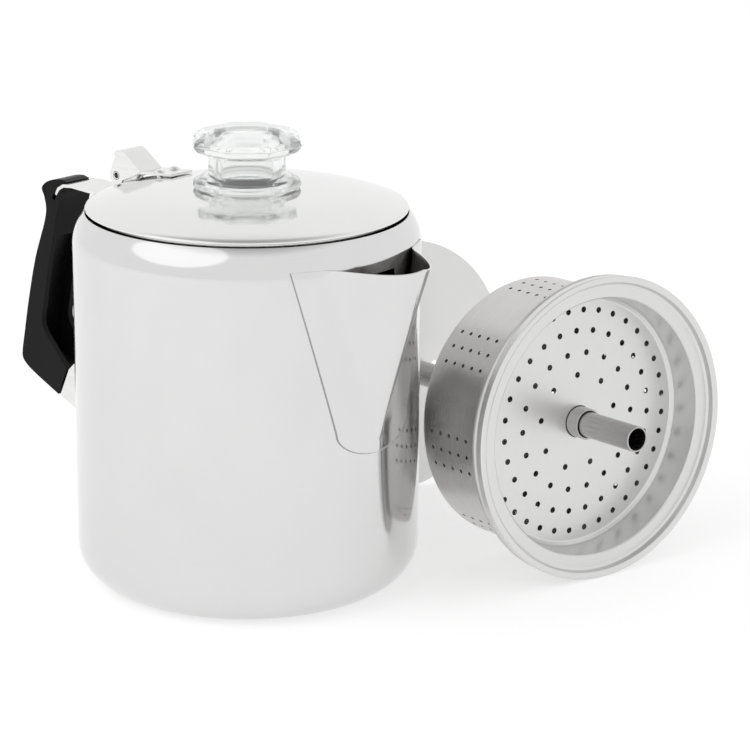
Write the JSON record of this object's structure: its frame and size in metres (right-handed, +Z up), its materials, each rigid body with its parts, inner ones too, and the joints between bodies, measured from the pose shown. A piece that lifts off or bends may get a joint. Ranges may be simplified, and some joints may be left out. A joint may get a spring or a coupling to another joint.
{
  "type": "coffee percolator",
  "caption": "Stainless stovetop camping percolator with hinged lid, clear knob and black handle, its stem, basket and spreader cover lying beside it.",
  "frame": {"origin": "centre of the pot's flat base", "axes": "+Z up out of the pot's base, +X towards the spout, -X towards the handle"},
  "size_m": [0.2435, 0.2356, 0.176],
  "materials": {
    "pot_steel": "mirror-polished stainless steel sheet",
    "bracket_steel": "satin stainless steel",
    "brew_steel": "brushed stainless steel sheet and tube",
    "grip_nylon": "moulded black nylon with a fine matt grain",
    "knob_glass": "clear pressed glass"
  },
  "bodies": {
    "pot": {"pot_shell": "pot_steel", "spout": "pot_steel", "handle_grip": "grip_nylon", "handle_upper_bracket": "bracket_steel", "handle_lower_bracket": "bracket_steel", "handle_upper_screw": "bracket_steel", "handle_lower_screw": "bracket_steel", "hinge_pin": "bracket_steel"},
    "lid": {"lid_plate": "pot_steel", "lid_skirt": "pot_steel", "lid_hinge_leaf": "bracket_steel", "leaf_rivet_near": "bracket_steel", "leaf_rivet_far": "bracket_steel"},
    "knob": {"knob": "knob_glass"},
    "stem": {"stem_tube": "brew_steel", "stem_base": "brew_steel", "stem_stop_ring": "brew_steel"},
    "basket": {"basket_shell": "brew_steel", "basket_sleeve": "brew_steel"},
    "cover": {"basket_cover": "brew_steel", "cover_collar": "brew_steel"}
  },
  "joints": [
    {"name": "lid_hinge", "type": "hinge", "parent": "pot", "child": "lid", "pos_m": [-0.0645, 0, 0.149], "axis": [0, -1, 0], "range_deg": [0, 100]},
    {"name": "knob_turn", "type": "hinge", "parent": "lid", "child": "knob", "pos_m": [0, 0, 0.16], "axis": [0, 0, 1], "range_deg": [0, 90]},
    {"name": "brew_unit_lift", "type": "slide", "parent": "pot", "child": "stem", "axis": [0, 0, 1], "range_m": [0, 0.2]},
    {"name": "basket_slide", "type": "slide", "parent": "stem", "child": "basket", "axis": [0.9737, -0.223, 0.0473], "range_m": [0, 0.07]},
    {"name": "cover_slide", "type": "slide", "parent": "basket", "child": "cover", "axis": [0.9737, -0.223, 0.0473], "range_m": [0, 0.045]}
  ]
}
